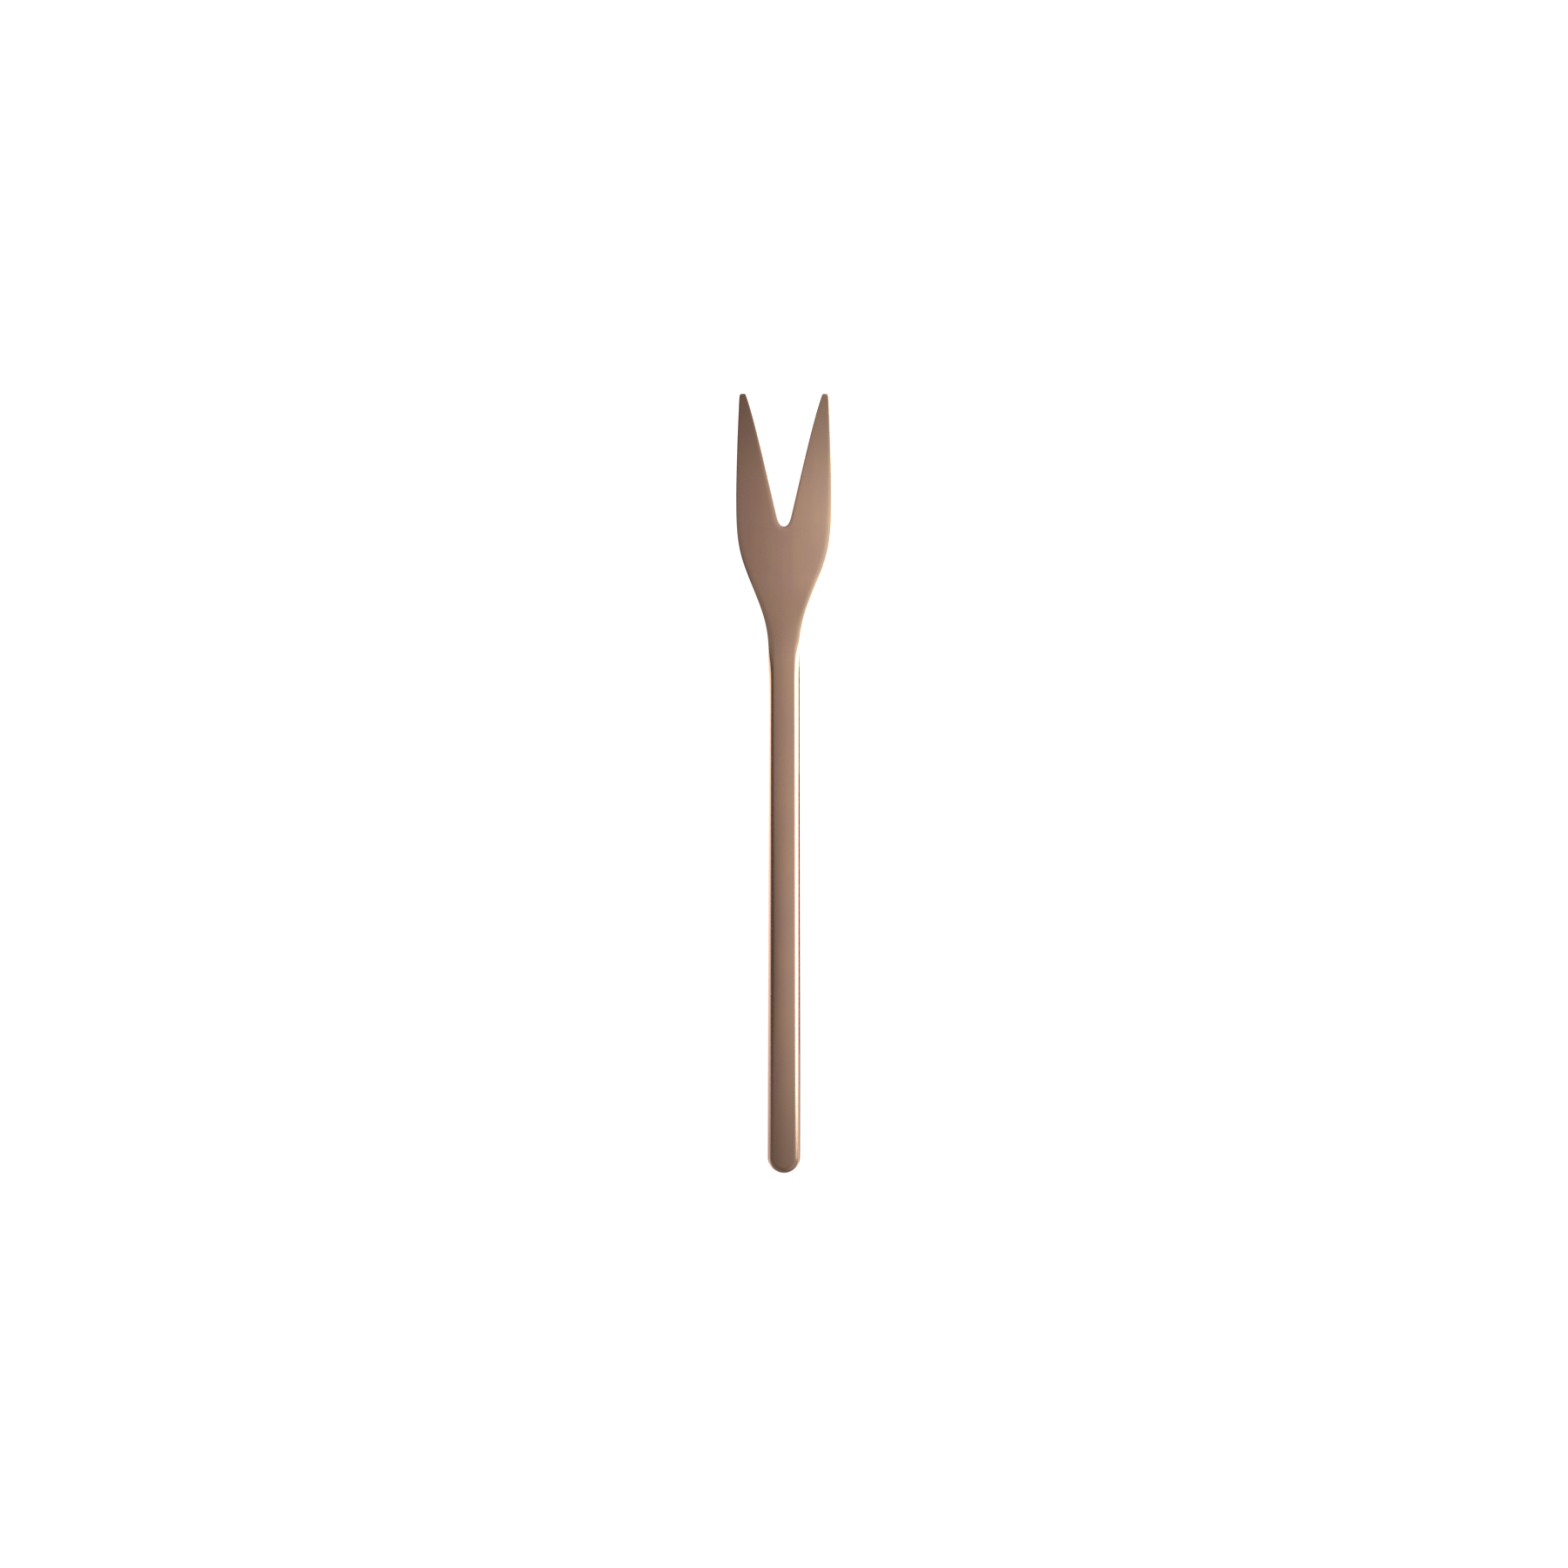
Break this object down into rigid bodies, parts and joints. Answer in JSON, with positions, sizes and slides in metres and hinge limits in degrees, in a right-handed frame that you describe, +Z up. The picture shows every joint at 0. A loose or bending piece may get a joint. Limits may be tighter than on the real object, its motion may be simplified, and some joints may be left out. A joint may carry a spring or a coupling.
{
  "type": "cocktail fork",
  "caption": "Slim cocktail fork with a deep V notch between its tines and a long hollow bar handle with a half-round end.",
  "frame": {"origin": "under the middle of the fork, on the surface that it lies on", "axes": "+Y along the fork towards the tines, +Z up out of the face that is up when it lies on its back, +X to the right seen from above with the tines away from the viewer"},
  "size_m": [0.0184, 0.15, 0.0058],
  "materials": {
    "satin_bronze_head": "satin bronze-coloured coating on stainless steel, finely brushed along the fork",
    "satin_bronze_handle": "satin bronze-coloured coating on stainless steel, finely brushed along the handle",
    "handle_cement": "set cement, matt and grainy, hidden inside the handle"
  },
  "bodies": {
    "root": {"fork_head": "satin_bronze_head", "handle_shell_top": "satin_bronze_handle", "handle_shell_bottom": "satin_bronze_handle", "handle_filler": "handle_cement"}
  },
  "joints": []
}
